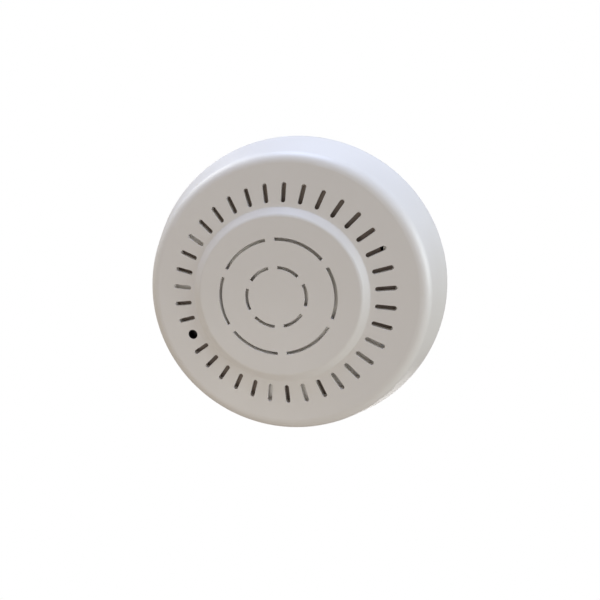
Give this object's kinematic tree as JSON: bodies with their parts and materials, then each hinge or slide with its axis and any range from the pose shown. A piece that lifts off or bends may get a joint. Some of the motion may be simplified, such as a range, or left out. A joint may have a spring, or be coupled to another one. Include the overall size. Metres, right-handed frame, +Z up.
{
  "type": "smoke detector",
  "caption": "Round white ceiling smoke alarm with a ring of radial slots, concentric arc vents in a raised disc, twist-off bracket and hinged battery door.",
  "frame": {"origin": "centre of the bracket's back face, on the ceiling plane, midway between the two screw slots", "axes": "+Z up into the ceiling, the alarm hangs below it along -Z; X along the line of the two mounting screws; the battery well lies along -Y"},
  "size_m": [0.1222, 0.1222, 0.0263],
  "materials": {
    "white_plastic": "satin",
    "board_green": "satin",
    "screw_steel": "satin",
    "dark_lens": "gloss",
    "black_plastic": "matte",
    "screen_metal": "satin",
    "brass": "satin",
    "ceramic": "matte",
    "contact_metal": "gloss",
    "ferrite": "matte",
    "copper": "satin",
    "capacitor_sleeve": "satin",
    "led_lens": "gloss",
    "smoked_plastic": "gloss",
    "cell_jacket": "gloss"
  },
  "bodies": {
    "bracket": {"mounting_bracket": "white_plastic"},
    "head": {"front_cover": "white_plastic", "rear_housing": "white_plastic", "circuit_board": "board_green", "board_screw_1": "screw_steel", "board_screw_2": "screw_steel", "board_screw_3": "screw_steel", "cover_screw_1": "screw_steel", "cover_screw_2": "screw_steel", "cover_screw_3": "screw_steel", "infrared_led": "dark_lens", "photodiode": "dark_lens", "smoke_chamber": "black_plastic", "insect_screen": "screen_metal", "chamber_cap": "black_plastic", "sounder_cup": "white_plastic", "piezo_disc": "brass", "piezo_ceramic": "ceramic", "sounder_pin_ceramic": "contact_metal", "sounder_pin_disc": "contact_metal", "transformer_core": "ferrite", "transformer_winding": "copper", "large_capacitor": "capacitor_sleeve", "small_capacitor": "capacitor_sleeve", "controller_chip": "black_plastic", "board_resistors": "ferrite", "indicator_led": "led_lens", "test_switch": "black_plastic", "plunger_spring": "contact_metal", "cell_left": "cell_jacket", "cell_right": "cell_jacket", "bridge_contact": "contact_metal", "positive_contact": "contact_metal", "negative_contact": "contact_metal", "cell_spring_inner": "contact_metal", "cell_spring_outer": "contact_metal"},
    "battery_door": {"battery_door": "white_plastic"},
    "test_pin": {"test_plunger": "smoked_plastic", "switch_actuator": "black_plastic"}
  },
  "joints": [
    {"name": "head_twist", "type": "hinge", "parent": "bracket", "child": "head", "pos_m": [0, 0, -0.0028], "axis": [0, 0, -1], "range_deg": [0, 15]},
    {"name": "door_hinge", "type": "hinge", "parent": "head", "child": "battery_door", "pos_m": [0, 0.0022, -0.0036], "axis": [-1, 0, 0], "range_deg": [0, 100]},
    {"name": "test_press", "type": "slide", "parent": "head", "child": "test_pin", "axis": [0, 0, 1], "range_m": [0, 0.0006], "stiffness_N_per_m": 400, "springref_m": -0.0004, "deforming": ["plunger_spring"]}
  ]
}
